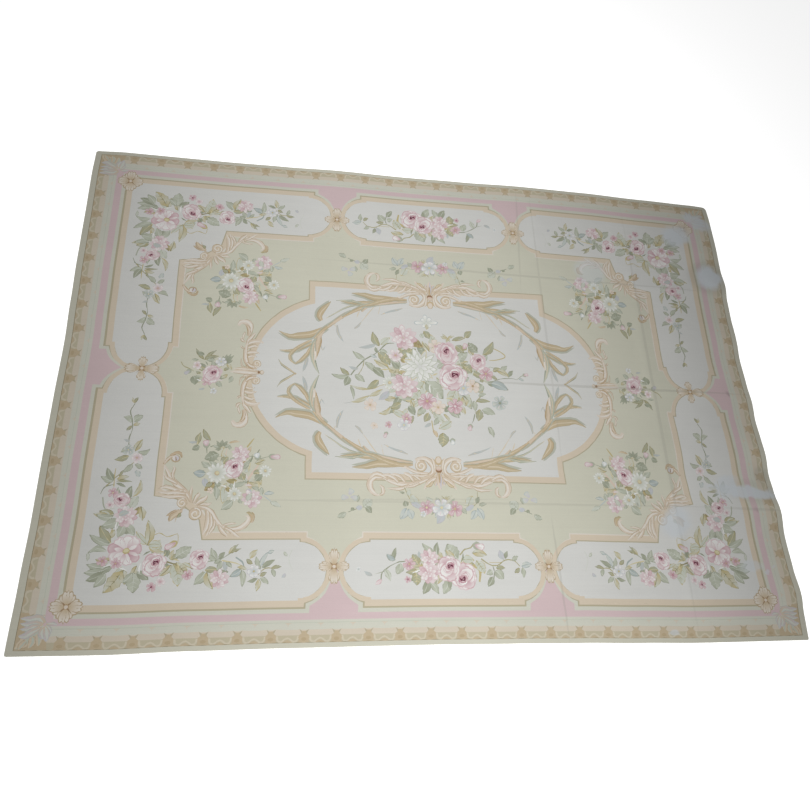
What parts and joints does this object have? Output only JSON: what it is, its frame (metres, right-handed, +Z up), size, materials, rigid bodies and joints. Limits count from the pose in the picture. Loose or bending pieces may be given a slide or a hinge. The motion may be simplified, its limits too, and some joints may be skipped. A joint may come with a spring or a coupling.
{
  "type": "needlepoint rug",
  "caption": "Flat needlepoint wool rug in cream, pale sage and dusty pink, with a floral medallion, corner panels and scroll borders, lying with soft creases.",
  "frame": {"origin": "on the floor, under the middle of the lying rug's bounding box", "axes": "+X along the long side, +Y along the short side towards the far side in the picture, +Z up out of the stitched face"},
  "size_m": [4.27, 3.076, 0.014],
  "materials": {
    "wool": "matt wool needlepoint in cream, sage, peach and pink"
  },
  "bodies": {
    "root": {"rug": "wool"}
  },
  "joints": []
}
